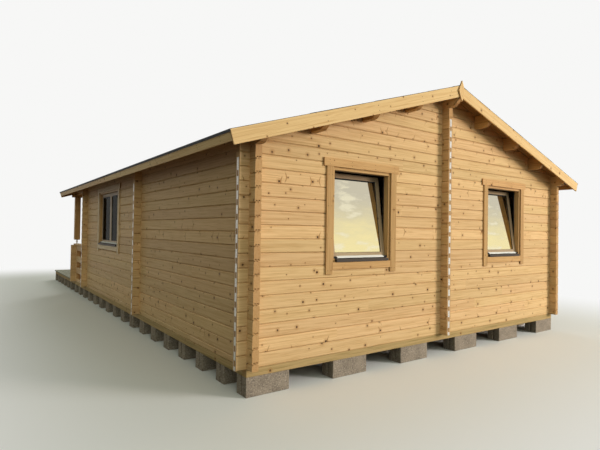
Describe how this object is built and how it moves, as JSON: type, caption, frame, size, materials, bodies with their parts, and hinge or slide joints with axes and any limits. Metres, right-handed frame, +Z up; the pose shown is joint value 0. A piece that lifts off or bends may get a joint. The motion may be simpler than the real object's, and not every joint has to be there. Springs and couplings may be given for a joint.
{
  "type": "log cabin with end porch",
  "caption": "Log cabin with cross-notched log walls, low gable roof, framed windows, a covered, railed porch and an open terrace beyond it.",
  "frame": {"origin": "on the ground under the middle of the roof, on the underside of the middle block there", "axes": "+Z up, +Y along the ridge towards the porch, +X across the cabin to the right seen from the window gable"},
  "size_m": [6.396, 11.875, 3.476],
  "materials": {
    "concrete": "rough light grey cast concrete",
    "treated_timber": "greenish pressure-treated sawn timber",
    "log": "fresh planed spruce, untreated, knots and fine grain",
    "board": "planed spruce boards, untreated",
    "roof_board": "planed tongued boards, in shade",
    "joinery": "smooth planed window and door joinery",
    "felt": "black bitumen roofing felt with a fine mineral face",
    "glass": "clear glazing",
    "sill_metal": "folded aluminium with a grey-brown coat",
    "drip_white": "white coated aluminium profile",
    "rubber_seal": "black extruded rubber glazing seal",
    "decking": "pale grey-green treated decking, planed",
    "galvanised": "galvanised steel strap"
  },
  "bodies": {
    "root": {"front_footings": "concrete", "rear_footings": "concrete", "side_footings": "concrete", "middle_footings": "concrete", "base_beams": "treated_timber", "floor_joists": "treated_timber", "room_floors": "board", "porch_deck": "board", "terrace_footings": "concrete", "terrace_frame": "treated_timber", "terrace_deck": "decking", "front_wall": "log", "left_wall": "log", "right_wall": "log", "cross_partition": "log", "centre_partition": "log", "porch_wall": "log", "rear_gable": "log", "eave_plates": "log", "side_rails": "log", "porch_rails": "log", "rail_caps": "board", "corner_posts": "board", "entry_posts": "board", "post_feet": "galvanised", "ridge_purlin": "log", "side_purlins": "log", "left_roof_boards": "roof_board", "right_roof_boards": "roof_board", "roof_felt": "felt", "front_bargeboards": "board", "rear_bargeboards": "board", "apex_plates": "board", "eave_fascias": "board", "window_frames": "joinery", "side_window_frames": "joinery", "tilted_sashes": "joinery", "tilted_panes": "glass", "closed_sashes": "joinery", "closed_panes": "glass", "window_casings": "board", "side_casings": "board", "window_sills": "sill_metal", "drip_rails": "drip_white", "door_frame": "joinery", "door_leaf": "joinery", "door_pane": "glass", "door_handles": "galvanised", "storm_straps": "galvanised"}
  },
  "joints": []
}
